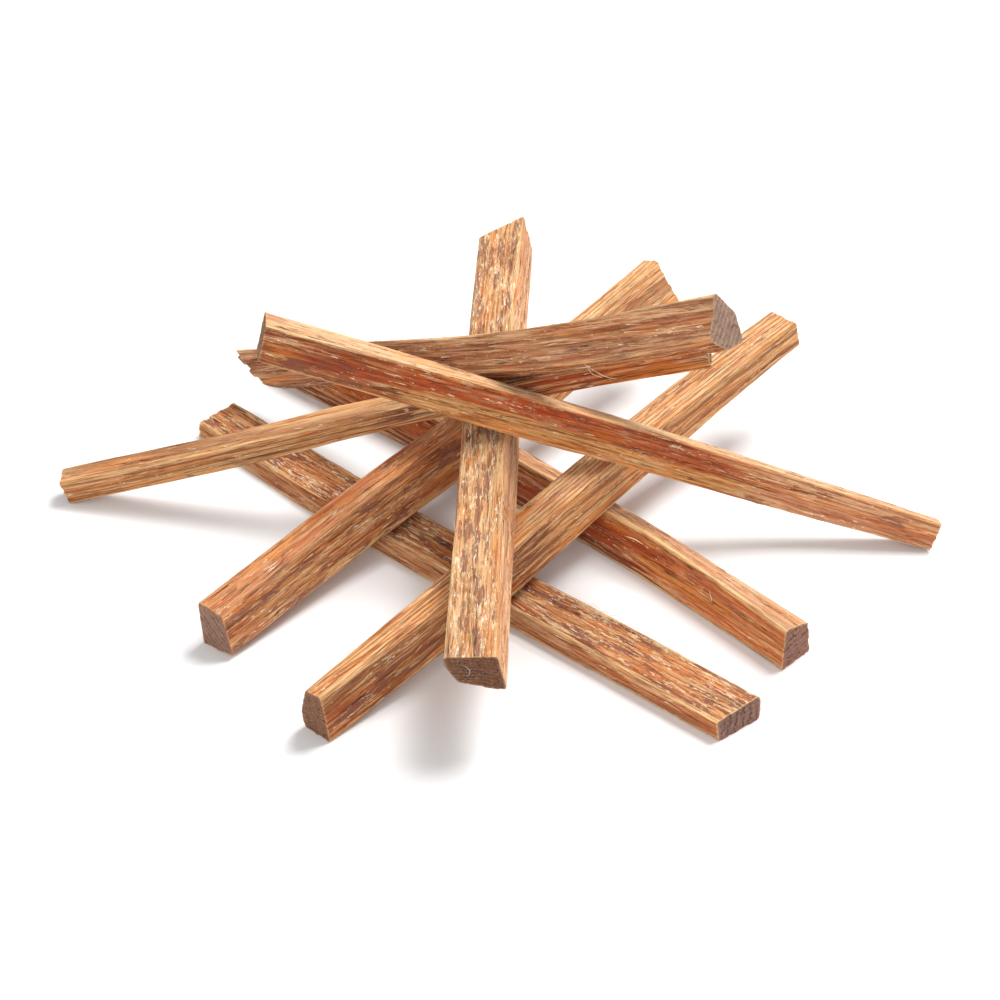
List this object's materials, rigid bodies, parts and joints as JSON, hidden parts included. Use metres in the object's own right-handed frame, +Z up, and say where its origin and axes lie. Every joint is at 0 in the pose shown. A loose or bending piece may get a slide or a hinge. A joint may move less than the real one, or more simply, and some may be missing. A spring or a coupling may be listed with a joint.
{
  "type": "crossed pile of split kindling sticks",
  "caption": "Loose pile of crossed, hand-split resinous pine kindling sticks with rough square sides and sawn ends, for lighting a fire.",
  "frame": {"origin": "on the surface that the pile lies on, under the middle of its bounding box", "axes": "+X along the pile's longest extent, left to right; +Y away from the viewer; +Z up, the pile's shortest extent"},
  "size_m": [0.2528, 0.1898, 0.097],
  "materials": {
    "golden_wood": "rough split resinous pine, golden tan with brown grain lines",
    "red_wood": "rough split resinous pine, orange to rust red with pale torn fibres",
    "brown_wood": "rough split resinous pine, mid brown with dark grain lines"
  },
  "bodies": {
    "root": {"front_floor_stick": "golden_wood", "rear_floor_stick": "red_wood", "right_cross_stick": "golden_wood", "left_cross_stick": "red_wood", "centre_stick": "golden_wood", "long_leaning_stick": "golden_wood", "broken_stick": "brown_wood", "top_stick": "red_wood"}
  },
  "joints": []
}
